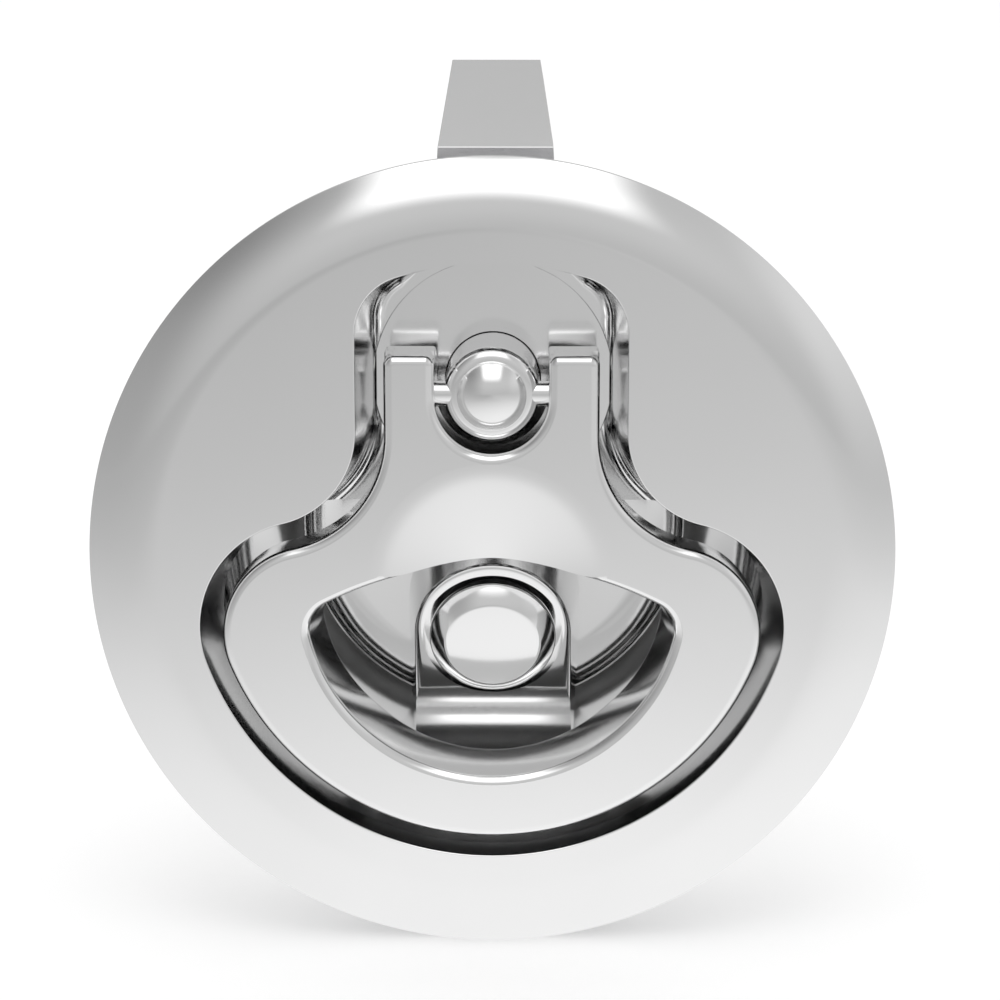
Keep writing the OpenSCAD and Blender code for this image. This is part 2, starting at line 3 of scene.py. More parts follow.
import bmesh
import bpy
import numpy as np
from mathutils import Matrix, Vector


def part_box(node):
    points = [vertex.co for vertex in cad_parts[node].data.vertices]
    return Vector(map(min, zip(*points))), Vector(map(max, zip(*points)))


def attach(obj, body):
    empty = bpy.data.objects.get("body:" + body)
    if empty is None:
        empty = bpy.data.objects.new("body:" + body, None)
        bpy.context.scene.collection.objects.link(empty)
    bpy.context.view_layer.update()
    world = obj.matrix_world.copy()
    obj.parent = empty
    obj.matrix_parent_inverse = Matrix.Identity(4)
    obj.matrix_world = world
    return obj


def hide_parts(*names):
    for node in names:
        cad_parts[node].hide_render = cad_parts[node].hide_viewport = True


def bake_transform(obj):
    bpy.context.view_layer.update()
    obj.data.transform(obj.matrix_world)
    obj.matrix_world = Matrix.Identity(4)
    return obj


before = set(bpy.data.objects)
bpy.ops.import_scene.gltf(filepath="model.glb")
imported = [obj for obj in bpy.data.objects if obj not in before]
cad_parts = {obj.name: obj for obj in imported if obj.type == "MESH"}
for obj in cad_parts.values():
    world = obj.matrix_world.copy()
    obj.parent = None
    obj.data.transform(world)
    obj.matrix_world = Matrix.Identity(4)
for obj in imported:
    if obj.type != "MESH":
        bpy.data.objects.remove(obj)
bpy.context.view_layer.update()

mm = 0.001  # every size below is in millimetres, +X right, +Z up, the front faces -Y
far = 40  # past the edge of every piece: how far a cutter reaches


def nodeBox(name):
    # lowest and highest corner of a solid, in millimetres
    low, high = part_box(name)
    return np.array(low) / mm, np.array(high) / mm


# places that the pieces share, taken from the solids
houseLow, houseHigh = nodeBox("housing")
wearLow, wearHigh = nodeBox("wear_plate")
pinLow, pinHigh = nodeBox("pivot_pin")
faceY = houseLow[1]
backY = houseHigh[1]
platformY = wearLow[1]
shaftZ = (wearLow[2] + wearHigh[2]) / 2
pinY = (pinLow[1] + pinHigh[1]) / 2
print("frame read: face", round(faceY, 2), "back", round(backY, 2), "shaft", round(shaftZ, 2))


# outlines in X and Z, or in any two directions


def arcPoints(centre, radius, fromDeg, toDeg, stepDeg=3.0):
    # centre plus radius times (cos, sin) of evenly spaced angles
    count = max(3, int(abs(toDeg - fromDeg) / stepDeg) + 2)
    a = np.radians(np.linspace(fromDeg, toDeg, count))
    return np.column_stack([centre[0] + radius * np.cos(a), centre[1] + radius * np.sin(a)])


def tidyOutline(points):
    # drops a point that lies on the one before it, and turns the outline anticlockwise
    points = np.asarray(points, float)
    gap = np.linalg.norm(points - np.roll(points, 1, 0), axis=1)
    points = points[gap > 1e-4]
    x, z = points.T
    area = (x * np.roll(z, -1) - np.roll(x, -1) * z).sum() / 2
    return points if area > 0 else points[::-1]


def mirrored(half):
    # whole outline from its right half, which starts and ends on the middle line
    return tidyOutline(np.vstack([half, half[::-1] * [-1, 1]]))


def outlineNormals(points):
    # mitred normal of a corner: sum of its two edge normals over one plus their dot product
    edge = np.roll(points, -1, 0) - points
    edge = edge / np.linalg.norm(edge, axis=1)[:, None]
    after = np.column_stack([edge[:, 1], -edge[:, 0]])
    before = np.roll(after, 1, 0)
    return (after + before) / (1 + (after * before).sum(1))[:, None]


def bellSide(halfW, bigR, cornerR, cornerZ, flareR):
    # right half of the bell: big circle, corner and flare, each tangent to the next
    cornerX = math.sqrt((bigR - cornerR) ** 2 - cornerZ**2)
    lowA = math.degrees(math.atan2(cornerZ, cornerX))
    flareX = halfW + flareR
    flareZ = cornerZ + math.sqrt((flareR + cornerR) ** 2 - (flareX - cornerX) ** 2)
    turnA = math.degrees(math.atan2(flareZ - cornerZ, flareX - cornerX))
    return np.vstack([
        arcPoints((0, 0), bigR, -90, lowA, 2),
        arcPoints((cornerX, cornerZ), cornerR, lowA, turnA, 3),
        arcPoints((flareX, flareZ), flareR, turnA + 180, 180, 3),
    ])


def roundEdge(radius, steps=5):
    # quarter circle from a cap to a side, as (inset, depth) pairs
    t = np.linspace(0, math.pi / 2, steps + 1)
    return list(zip(radius * (1 - np.sin(t)), radius * (1 - np.cos(t))))


# meshes


def meshFrom(name, points, faces):
    # puts points in millimetres into a mesh, merges doubles and turns every face outwards
    mesh = bpy.data.meshes.new(name)
    mesh.from_pydata((np.asarray(points) * mm).tolist(), [], [list(map(int, f)) for f in faces])
    bm = bmesh.new()
    bm.from_mesh(mesh)
    bmesh.ops.remove_doubles(bm, verts=bm.verts, dist=1e-7)
    bmesh.ops.dissolve_degenerate(bm, edges=bm.edges, dist=1e-8)
    bmesh.ops.recalc_face_normals(bm, faces=bm.faces)
    bm.to_mesh(mesh)
    bm.free()
    piece = bpy.data.objects.new(name, mesh)
    bpy.context.scene.collection.objects.link(piece)
    return piece


def gridFaces(rows, cols, loop=False):
    # quads of a grid whose columns wrap round, and whose rows do too on a closed loop
    i = np.arange(rows if loop else rows - 1)[:, None]
    j = np.arange(cols)[None, :]
    nextI, nextJ = (i + 1) % rows, (j + 1) % cols
    corners = (i * cols + j, i * cols + nextJ, nextI * cols + nextJ, nextI * cols + j)
    return np.stack(np.broadcast_arrays(*corners)).reshape(4, -1).T.tolist()


def capFaces(rows, cols):
    # the first and the last row of a grid, each as one face
    last = (rows - 1) * cols
    return [list(range(cols)), list(range(last, last + cols))]


def turned(name, profile, centre=(0, 0, 0), tilt=0, steps=160, loop=False, wave=None):
    # turned solid: x = r cos t, z = r sin t, y along the axis; wave(y, t) may change the radius
    # then a tilt about X and a move to the centre
    profile = np.asarray(profile, float)
    t = np.linspace(0, 2 * math.pi, steps, endpoint=False)
    r = profile[:, 0][:, None] * np.ones(steps)
    y = profile[:, 1][:, None] * np.ones(steps)
    if wave is not None:
        r = np.where(r > 0, r + wave(y, t[None, :]), 0)
    x, z = r * np.cos(t), r * np.sin(t)
    c, s = math.cos(math.radians(tilt)), math.sin(math.radians(tilt))
    points = np.stack([x + centre[0], y * c - z * s + centre[1], y * s + z * c + centre[2]], 2)
    return meshFrom(name, points.reshape(-1, 3), gridFaces(len(profile), steps, loop))


def lofted(name, outline, rings, along="y", share=None, lean=None):
    # an outline carried along Y or X: each ring is the outline less inset times its normal, at a depth
    # share(points) scales the inset, lean(points) is the way a point moves per depth behind the face
    outline = tidyOutline(outline)
    normals = outlineNormals(outline)
    if share is not None:
        normals = normals * share(outline)[:, None]
    inset = np.array([r[0] for r in rings])[:, None, None]
    depth = np.array([r[1] for r in rings])[:, None] * np.ones(len(outline))
    flat = outline[None] - inset * normals[None]
    if along == "y":
        if lean is not None:
            flat = flat + lean(outline) * (depth - faceY)[..., None]
        points = np.stack([flat[..., 0], depth, flat[..., 1]], 2)
    else:
        points = np.stack([depth, flat[..., 0], flat[..., 1]], 2)
    shape = (len(rings), len(outline))
    return meshFrom(name, points.reshape(-1, 3), gridFaces(*shape) + capFaces(*shape))


def block(name, low, high):
    # plain box, used only as a cutter
    x0, y0, z0 = low
    x1, y1, z1 = high
    return lofted(name, [(x0, z0), (x1, z0), (x1, z1), (x0, z1)], [(0, y0), (0, y1)])


def combine(target, tool, how="DIFFERENCE"):
    # boolean of two closed meshes, applied at once
    change = target.modifiers.new("change", "BOOLEAN")
    change.operation = how
    change.solver = "EXACT"
    change.object = tool
    graph = bpy.context.evaluated_depsgraph_get()
    result = bpy.data.meshes.new_from_object(target.evaluated_get(graph))
    target.modifiers.clear()
    spent = [target.data, tool.data]
    target.data = result
    bpy.data.objects.remove(tool)
    for mesh in spent:
        bpy.data.meshes.remove(mesh)
    return target


thread = dict(crest=0.14, flank=0.74, rowsPerTurn=8)  # crest and flank are shares of half a pitch


def threadWave(pitch, depth, y0, y1):
    # helical groove: depth times a rounded triangle of (y over pitch less turn), faded out at both ends
    def wave(y, t):
        phase = (y / pitch - t / (2 * math.pi)) % 1.0
        tri = np.abs(phase - 0.5) * 2
        tri = np.clip((tri - thread["crest"]) / thread["flank"], 0, 1)
        fade = np.clip(np.minimum(y - y0, y1 - y) / pitch, 0, 1)
        return -depth * tri * fade
    return wave


def threadRows(radius, y0, y1, pitch):
    # straight stretch of a profile with enough rows for a thread
    y = np.linspace(y0, y1, int((y1 - y0) / pitch * thread["rowsPerTurn"]) + 1)
    return [(radius, v) for v in y]


edges = dict(segments=3, bevelDeg=35, weight=60)


def finished(piece, node, body, material, sharpDeg=32, bevel=0.0):
    # smooth faces split at sharp edges, flat faces kept flat, then body, node and finish
    mesh = piece.data
    mesh.materials.clear()
    mesh.materials.append(material)
    mesh.polygons.foreach_set("use_smooth", np.ones(len(mesh.polygons), bool))
    if bevel:
        edge = piece.modifiers.new("edges", "BEVEL")
        edge.width = bevel * mm
        edge.segments = edges["segments"]
        edge.limit_method = "ANGLE"
        edge.angle_limit = math.radians(edges["bevelDeg"])
        edge.harden_normals = False
    mesh.set_sharp_from_angle(angle=math.radians(sharpDeg))
    even = piece.modifiers.new("evenNormals", "WEIGHTED_NORMAL")
    even.mode = "FACE_AREA"
    even.weight = edges["weight"]
    even.keep_sharp = True
    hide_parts(node)
    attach(piece, body)
    print("piece", piece.name, len(mesh.polygons), "faces")
    return piece


# finishes

polish = dict(cloudDetail=4, lineDetail=3, lineHeight=0.35, stretch=(1.0, 1.0, 9.0), turn=(0.4, 0.3, 0.7),
              scales=(("Cloud scale", 40.0), ("Line scale", 900.0)), lineRange=(0.3, 0.7))
mixSockets = {"RGBA": (6, 7, 2), "FLOAT": (2, 3, 0)}  # first input, second input and output of a mix node


def polishGroup():
    # fine polishing lines and cloudy polish: a roughness mask, a tone mask and a height for bump
    group = bpy.data.node_groups.new("polishMarks", "ShaderNodeTree")
    for label, value in polish["scales"]:
        socket = group.interface.new_socket(label, in_out="INPUT", socket_type="NodeSocketFloat")
        socket.default_value = value
    for label in ("Cloud", "Lines", "Height"):
        group.interface.new_socket(label, in_out="OUTPUT", socket_type="NodeSocketFloat")
    nodes, links = group.nodes, group.links
    entry = nodes.new("NodeGroupInput")
    leave = nodes.new("NodeGroupOutput")
    coord = nodes.new("ShaderNodeTexCoord")
    cloud = nodes.new("ShaderNodeTexNoise")
    cloud.inputs["Detail"].default_value = polish["cloudDetail"]
    stretch = nodes.new("ShaderNodeMapping")
    stretch.inputs["Scale"].default_value = polish["stretch"]
    stretch.inputs["Rotation"].default_value = polish["turn"]
    lines = nodes.new("ShaderNodeTexNoise")
    lines.inputs["Detail"].default_value = polish["lineDetail"]
    total = nodes.new("ShaderNodeMath")
    total.operation = "MULTIPLY_ADD"
    total.inputs[1].default_value = polish["lineHeight"]
    links.new(coord.outputs["Object"], cloud.inputs["Vector"])
    links.new(entry.outputs["Cloud scale"], cloud.inputs["Scale"])
    links.new(coord.outputs["Object"], stretch.inputs["Vector"])
    links.new(stretch.outputs["Vector"], lines.inputs["Vector"])
    links.new(entry.outputs["Line scale"], lines.inputs["Scale"])
    links.new(lines.outputs["Fac"], total.inputs[0])
    links.new(cloud.outputs["Fac"], total.inputs[2])
    links.new(cloud.outputs["Fac"], leave.inputs["Cloud"])
    links.new(lines.outputs["Fac"], leave.inputs["Lines"])
    links.new(total.outputs["Value"], leave.inputs["Height"])
    return group


marks = polishGroup()


def arithmetic(nodes, links, operation, first, second=None):
    # one math node on one or two values
    node = nodes.new("ShaderNodeMath")
    node.operation = operation
    links.new(first, node.inputs[0])
    if isinstance(second, (int, float)):
        node.inputs[1].default_value = second
    elif second is not None:
        links.new(second, node.inputs[1])
    return node.outputs["Value"]


def eitherShader(nodes, links, share, first, second):
    # mix of two shaders by a share: the first at 0, the second at 1
    mix = nodes.new("ShaderNodeMixShader")
    for socket, slot in zip((share, first.outputs[0], second.outputs[0]), mix.inputs):
        links.new(socket, slot)
    return mix


def setRange(node, source, target):
    # the two values that a map range node reads, and the two that it gives for them
    for label, pair in (("From", source), ("To", target)):
        node.inputs[label + " Min"].default_value = pair[0]
        node.inputs[label + " Max"].default_value = pair[1]


def finish(name, low, high, metallic, rough, cloudScale, lineScale, bump):
    # colour between low and high by the cloud mask, roughness between its two values by the lines
    material = bpy.data.materials.new(name)
    material.use_nodes = True
    nodes, links = material.node_tree.nodes, material.node_tree.links
    shader = nodes["Principled BSDF"]
    shader.inputs["Metallic"].default_value = metallic
    wear = nodes.new("ShaderNodeGroup")
    wear.node_tree = marks
    wear.inputs["Cloud scale"].default_value = cloudScale
    wear.inputs["Line scale"].default_value = lineScale
    tone = nodes.new("ShaderNodeMix")
    tone.data_type = "RGBA"
    first, second, result = mixSockets["RGBA"]
    tone.inputs[first].default_value = (*low, 1)
    tone.inputs[second].default_value = (*high, 1)
    gloss = nodes.new("ShaderNodeMapRange")
    setRange(gloss, polish["lineRange"], rough)
    relief = nodes.new("ShaderNodeBump")
    relief.inputs["Strength"].default_value = bump[0]
    relief.inputs["Distance"].default_value = bump[1] * mm
    links.new(wear.outputs["Cloud"], tone.inputs[0])
    links.new(wear.outputs["Lines"], gloss.inputs["Value"])
    links.new(wear.outputs["Height"], relief.inputs["Height"])
    links.new(tone.outputs[result], shader.inputs["Base Color"])
    links.new(gloss.outputs["Result"], shader.inputs["Roughness"])
    links.new(relief.outputs["Normal"], shader.inputs["Normal"])
    return material


def castBehind(material, depth, low, tone, rough):
    # behind a depth and below a height the surface is left as cast: a darker tone and a rougher face
    nodes, links = material.node_tree.nodes, material.node_tree.links
    shader = nodes["Principled BSDF"]
    coord = nodes.new("ShaderNodeTexCoord")
    split = nodes.new("ShaderNodeSeparateXYZ")
    links.new(coord.outputs["Object"], split.inputs["Vector"])
    behind = arithmetic(nodes, links, "GREATER_THAN", split.outputs["Y"], depth * mm)
    below = arithmetic(nodes, links, "LESS_THAN", split.outputs["Z"], low * mm)
    both = arithmetic(nodes, links, "MULTIPLY", behind, below)
    for name, kind, value in (("Base Color", "RGBA", (tone, tone, tone, 1)), ("Roughness", "FLOAT", rough)):
        first, second, result = mixSockets[kind]
        source = shader.inputs[name].links[0].from_socket
        mix = nodes.new("ShaderNodeMix")
        mix.data_type = kind
        mix.inputs[second].default_value = value
        links.new(both, mix.inputs[0])
        links.new(source, mix.inputs[first])
        links.new(mix.outputs[result], shader.inputs[name])
    return material


mirror = dict(low=(0.87, 0.87, 0.87), high=(0.91, 0.91, 0.91), metallic=1, rough=(0.1, 0.13), cloudScale=60,
              lineScale=1500, bump=(0.01, 0.004))
satin = dict(low=(0.60, 0.60, 0.61), high=(0.70, 0.70, 0.71), metallic=1, rough=(0.16, 0.28), cloudScale=120,
             lineScale=2200, bump=(0.10, 0.02))
wire = dict(low=(0.42, 0.42, 0.44), high=(0.55, 0.55, 0.57), metallic=1, rough=(0.20, 0.34), cloudScale=200,
            lineScale=2600, bump=(0.12, 0.02))
rubber = dict(low=(0.018, 0.018, 0.020), high=(0.032, 0.032, 0.034), metallic=0, rough=(0.48, 0.66),
              cloudScale=300, lineScale=900, bump=(0.25, 0.03))
bronze = dict(low=(0.45, 0.30, 0.13), high=(0.58, 0.40, 0.19), metallic=1, rough=(0.20, 0.32), cloudScale=160,
              lineScale=1500, bump=(0.12, 0.02))
castBack = dict(depth=1.15, low=-1.0, tone=0.33, rough=0.42)
mirrorSteel = finish("mirrorSteel", **mirror)
handleSteel = castBehind(finish("handleSteel", **mirror), **castBack)
satinSteel = finish("satinSteel", **satin)
springWire = finish("springWire", **wire)
sealRubber = finish("sealRubber", **rubber)
bushBronze = finish("bushBronze", **bronze)
for nodeName, material in (("shaft_bush", bushBronze), ("shaft_seal", sealRubber), ("plug_seal", sealRubber)):
    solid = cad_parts[nodeName]
    solid.data.materials.clear()
    solid.data.materials.append(material)
print("finishes made")


# housing: flange, barrel, pocket, boss and bores in one casting

flange = dict(flatR=31.2, landY=-1.2, edgeChamfer=0.2, barrelR=31.3, taper=6.0, taperIn=2.6, endSoft=0.3,
              endY=0.7, grooveR=(32.29, 35.31), grooveY=-1.2, pitch=1.5, threadDepth=0.5, threadY=(1.2, 14.2))
pocket = dict(halfW=12.6, bigR=28.4, cornerR=10.3, cornerZ=-6.0, flareR=9.0, topR=28.5, topCornerR=5.5,
              lip=0.14, draftDeg=7.0, fillet=1.2, topShare=0.1, fadeX=10, fadeW=5, shelfZ=4.0, step=0.4)
cup = dict(scoopR=8.6, wellR=18.8, floorR=16.9, floorY=18.0, scoopY=15.0, bowl=0.8, filletR=15.3, climb=1.85,
           wallDeg=84, wallSteps=22, floorSteps=20, edgeR=0.15, edgeY=0.12, wallIn=0.75)
boss = dict(halfW=7.6, plugZ=-8.85, plugY=4.4, tilt=18.0, draftDeg=4.5, lip=0.7, kneeZ=-16.6, slope=45.0,
            kneeR=4.0, ahead=1.2, footZ=-29.4, length=18.0, ringR=6.75, ringDepth=1.2, ringFlare=0.1,
            ringAhead=1.5, chinTop=5, chinLow=4, chinSteps=100, chinBack=60, chinHalf=20)
bores = dict(seatR=11.51, seatT=1.2, shaftR=4.55, sealY=9.65, bushR=7.01, springY=16.07, springR=7.6,
             mouthR=0.8, mouthY=0.4)
cutLip = dict(fromDeg=12, steps=6, outside=0.1, beyond=0.6)  # how a cutter with a round lip starts
hollow = dict(floorY=10.05, radius=26.1, lowZ=6.6, guideR=11.0, ribW=2.6)
stops = dict(radius=9.3, bore=1.01, depth=5.0, angles=(286.6, 163.4), gap=0.01, soft=0.3, endR=0.5)


def flangeProfile():
    # flat face, rim arc tangent to it, straight edge, gasket groove, threaded barrel and taper
    rimW = houseHigh[0] - flange["flatR"]
    rimH = flange["landY"] - faceY
    rimR = (rimW**2 + rimH**2) / (2 * rimH)
    endA = math.degrees(math.asin(rimW / rimR))
    rim = arcPoints((flange["flatR"], faceY + rimR), rimR, -90, -90 + endA, 1.5)
    c, edgeR, r = flange["edgeChamfer"], houseHigh[0], flange["barrelR"]
    g0, g1 = flange["grooveR"]
    y0, y1 = flange["threadY"]
    taperY = backY - flange["taper"]
    grooveY, endR, soft = flange["grooveY"], r - flange["taperIn"], flange["endSoft"]
    groove = [(g1, 0), (g1, grooveY), (g0, grooveY), (g0, 0)]
    end = [(r, taperY), (endR + soft, backY - flange["endY"]), (endR - soft, backY), (0, backY)]
    return ([(0, faceY)] + [tuple(p) for p in rim] + [(edgeR, -c), (edgeR - c, 0)] + groove + [(r, 0)]
            + threadRows(r, y0, y1, flange["pitch"]) + end)


def pocketOutline():
    # bell that ends above in two round corners and a flat arc
    p = pocket
    cornerX = p["halfW"] - p["topCornerR"]
    cornerZ = math.sqrt((p["topR"] - p["topCornerR"]) ** 2 - cornerX**2)
    topA = math.degrees(math.atan2(cornerZ, cornerX))
    return mirrored(np.vstack([
        bellSide(p["halfW"], p["bigR"], p["cornerR"], p["cornerZ"], p["flareR"]),
        arcPoints((cornerX, cornerZ), p["topCornerR"], 0, topA),
        arcPoints((0, 0), p["topR"], topA, 90),
    ]))


def pocketShare(points):
    # share of the draft: full at the sides, little at the arc above the shaft
    middle = np.clip((pocket["fadeX"] - np.abs(points[:, 0])) / pocket["fadeW"], 0, 1)
    t = np.where(points[:, 1] > shaftZ, middle, 0)
    return 1 - (1 - pocket["topShare"]) * t * t * (3 - 2 * t)


def frontLip(lip):
    # quarter circle from the face into the wall, after one ring that lies before the face
    turn = np.radians(np.linspace(cutLip["fromDeg"], 90, cutLip["steps"]))
    rings = [(-lip - cutLip["outside"], faceY - cutLip["beyond"])]
    return rings + [(-lip * (1 - math.sin(t)), faceY + lip * (1 - math.cos(t))) for t in turn]


def pocketRings():
    # round lip at the face, drafted wall, fillet into the platform
    lip, fillet = pocket["lip"], pocket["fillet"]
    slope = math.tan(math.radians(pocket["draftDeg"]))
    wallEnd = platformY - fillet
    inset = (wallEnd - faceY - lip) * slope
    turn = np.radians(np.linspace(6, 90, 15))
    rings = frontLip(lip) + [(inset, wallEnd)]
    return rings + [(inset + fillet * (1 - math.cos(t)), wallEnd + fillet * math.sin(t)) for t in turn]


def cupSolid():
    # turned: round finger scoop, then a well whose floor falls with the square of the radius and climbs to
    # the scoop by a quarter ellipse; kept inside the bell and below the shelf
    rimR = pocket["bigR"] - pocket["step"]
    scoopIn = rimR - cup["scoopR"]
    scoopTop = cup["scoopY"] - cup["scoopR"]
    arc = arcPoints((scoopIn, scoopTop), cup["scoopR"], 0, 90, 4)
    profile = [(0, platformY - 1.0), (rimR, platformY - 1.0)]
    profile += [tuple(p) for p in arc if p[1] > platformY - 0.5]
    profile += [(cup["wellR"] + cup["edgeR"], cup["scoopY"]), (cup["wellR"], cup["scoopY"] + cup["edgeY"])]
    turn = np.radians(np.linspace(cup["wallDeg"], 0, cup["wallSteps"]))
    wallR = cup["filletR"] + (cup["wellR"] - cup["filletR"]) * np.sin(turn)
    floorR = np.linspace(cup["filletR"], 0, cup["floorSteps"])[1:]
    radii = np.append(wallR, floorR)
    bowl = cup["floorY"] - cup["bowl"] * (radii / cup["floorR"]) ** 2
    climb = np.append(1 - np.cos(turn), np.zeros(len(floorR)))
    profile += list(zip(radii, bowl - cup["climb"] * climb))
    solid = turned("cupCut", profile, steps=192)
    below = block("belowShelf", (-far, platformY - 3, -far), (far, far, pocket["shelfZ"]))
    combine(solid, below, "INTERSECT")
    wallIn = cup["wallIn"]
    wall = lofted("bellCut", pocketOutline(), [(wallIn, platformY - 2), (wallIn, cup["floorY"] + 2)])
    return combine(solid, wall, "INTERSECT")


def plugPlane(z):
    # depth of the tilted plane in which the plug lies
    return boss["plugY"] - (z - boss["plugZ"]) * math.tan(math.radians(boss["tilt"]))


def chinDepth(z):
    # the plane of the plug, set forward a little, and bent by a hyperbola into the slope of the chin
    b = boss
    u = b["kneeZ"] - z
    bend = (u + np.sqrt(u**2 + b["kneeR"] ** 2)) / 2 - b["ahead"]
    steeper = math.tan(math.radians(90 - b["slope"])) - math.tan(math.radians(b["tilt"]))
    return plugPlane(z) + bend * steeper


def bossSolid():
    # tombstone with a round rim and drafted sides, sheared along Y into the plane of the plug, less its chin
    b = boss
    foot = [(0, b["footZ"]), (b["halfW"], b["footZ"])]
    half = np.vstack([foot, arcPoints((0, b["plugZ"]), b["halfW"], 0, 90, 3)])
    turn = np.radians(np.linspace(90, 0, 7))
    rings = list(zip(b["lip"] * (1 - np.cos(turn)), b["lip"] * (1 - np.sin(turn))))
    rings += [(-b["length"] * math.tan(math.radians(b["draftDeg"])), b["length"])]
    solid = lofted("bossSolid", mirrored(half), rings)
    points = np.empty(3 * len(solid.data.vertices))
    solid.data.vertices.foreach_get("co", points)
    points = points.reshape(-1, 3)
    points[:, 1] += plugPlane(points[:, 2] / mm) * mm
    solid.data.vertices.foreach_set("co", points.ravel())
    z = np.linspace(b["chinTop"], b["footZ"] - b["chinLow"], b["chinSteps"])
    behind = np.vstack([np.column_stack([chinDepth(z), z]), [(b["chinBack"], z[-1]), (b["chinBack"], z[0])]])
    sides = [(0, -b["chinHalf"]), (0, b["chinHalf"])]
    combine(solid, lofted("behindChin", behind, sides, along="x"), "INTERSECT")
    return combine(solid, plugRing())


def plugRing():
    # the recess round the plug: a short cylinder on the plug axis, a little wider in front
    b = boss
    r, ahead, depth = b["ringR"], b["ringAhead"], b["ringDepth"]
    profile = [(0, -ahead), (r + b["ringFlare"], -ahead), (r, 0), (r, depth), (0, depth)]
    return turned("plugRing", profile, centre=(0, b["plugY"], b["plugZ"]), tilt=b["tilt"])


def shaftBore():
    # stepped bore on the shaft axis: wear plate seat, shaft, seal and bush, spring
    b = bores
    mouthR = b["springR"] + b["mouthR"]
    return turned("shaftBore", [
        (0, platformY - 0.5), (b["seatR"], platformY - 0.5), (b["seatR"], platformY + b["seatT"]),
        (b["shaftR"], platformY + b["seatT"]), (b["shaftR"], b["sealY"]), (b["bushR"], b["sealY"]),
        (b["bushR"], b["springY"]), (b["springR"], b["springY"]), (b["springR"], backY - b["mouthY"]),
        (mouthR, backY + b["mouthY"]), (mouthR, backY + 2), (0, backY + 2)],
        centre=(0, 0, shaftZ), steps=128)


def hollowSolid():
    # the two hollows behind the platform: a half disc less the shaft guide and a rib
    h = hollow
    top = backY + 1
    floorY, r, guideR, ribHalf = h["floorY"], h["radius"], h["guideR"], h["ribW"] / 2
    solid = turned("hollow", [(0, floorY), (r, floorY), (r, top), (0, top)], steps=128)
    combine(solid, block("aboveShelf", (-far, 0, h["lowZ"]), (far, far, far)), "INTERSECT")
    guide = [(0, 0), (guideR, 0), (guideR, far), (0, far)]
    combine(solid, turned("guide", guide, centre=(0, 0, shaftZ), steps=96))
    return combine(solid, block("rib", (-ribHalf, 0, shaftZ), (ribHalf, far, far)))


def stopPlaces():
    # points on a circle about the shaft, one for each stop pin
    turn = [math.radians(angle) for angle in stops["angles"]]
    return [(stops["radius"] * math.cos(a), 0, shaftZ + stops["radius"] * math.sin(a)) for a in turn]


def makeHousing():
    # turned body with a thread on its barrel, less the pocket with cup and boss, the hollows and the bores
    y0, y1 = flange["threadY"]
    wave = threadWave(flange["pitch"], flange["threadDepth"], y0, y1)
    body = turned("housing_cast", flangeProfile(), steps=240,
                  wave=lambda y, t: np.where((y > y0) & (y < y1), wave(y, t), 0))
    opened = lofted("pocketCut", pocketOutline(), pocketRings(), share=pocketShare)
    combine(opened, cupSolid(), "UNION")
    combine(opened, bossSolid())
    combine(body, opened)
    combine(body, hollowSolid())
    combine(body, shaftBore())
    low, high, r = backY - stops["depth"], backY + 1, stops["bore"]
    for place in stopPlaces():
        hole = [(0, low), (r, low), (r, high), (0, high)]
        combine(body, turned("pinHole", hole, centre=place, steps=32))
    return finished(body, "housing", "case", mirrorSteel, 24)


makeHousing()


# lift handle

handle = dict(bigR=26.6, armHalf=10.0, cornerR=8.45, cornerZ=-6.7, flareR=11.0, armTopZ=19.9, armCornerR=1.0,
              notchHalf=5.3, notchCornerR=0.95, frontR=0.85, backR=0.4, plateBack=1.3, boreR=1.25)
heel = dict(reach=8.0, stroke=4.0, foot=6.0, edge=0.25, sunk=2.0, topGap=0.02, footGap=0.05, soft=0.3)
opening = dict(topR=34.3, topZ=0.0, lowR=17.7, lowZ=-20.8, cornerR=3.0, tiltDeg=9.0, lowTiltDeg=16.0,
               lowFrom=9, lowOver=9, lip=0.75, backLip=0.35, backDeg=(20, 78), narrow=0.014)
dish = dict(radius=10.1, depth=2.7, centreZ=-1.7, soft=0.18, sink=0.02, skirt=2.4, steps=60)


def handleOutline():
    # bell with two arms, round arm ends and a notch that ends in a half circle
    h = handle
    outer, inner, top = h["armHalf"] - h["armCornerR"], h["notchHalf"] + h["notchCornerR"], h["armTopZ"]
    return mirrored(np.vstack([
        bellSide(h["armHalf"], h["bigR"], h["cornerR"], h["cornerZ"], h["flareR"]),
        arcPoints((outer, top - h["armCornerR"]), h["armCornerR"], 0, 90, 8),
        arcPoints((inner, top - h["notchCornerR"]), h["notchCornerR"], 90, 180, 8),
        arcPoints((0, shaftZ), h["notchHalf"], 0, -90, 4),
    ]))


def openingOutline():
    # lens of two arcs with round corners tangent to both
    o = opening
    topC, lowC = o["topZ"] - o["topR"], o["lowZ"] + o["lowR"]
    topL, lowL = o["topR"] - o["cornerR"], o["lowR"] - o["cornerR"]
    cornerZ = ((topL**2 - lowL**2) / (lowC - topC) + topC + lowC) / 2
    cornerX = math.sqrt(lowL**2 - (cornerZ - lowC) ** 2)
    lowA = math.degrees(math.atan2(cornerZ - lowC, cornerX))
    topA = math.degrees(math.atan2(cornerZ - topC, cornerX))
    return mirrored(np.vstack([
        arcPoints((0, lowC), o["lowR"], -90, lowA, 2),
        arcPoints((cornerX, cornerZ), o["cornerR"], lowA, topA, 4),
        arcPoints((0, topC), o["topR"], topA, 90, 1.2),
    ]))


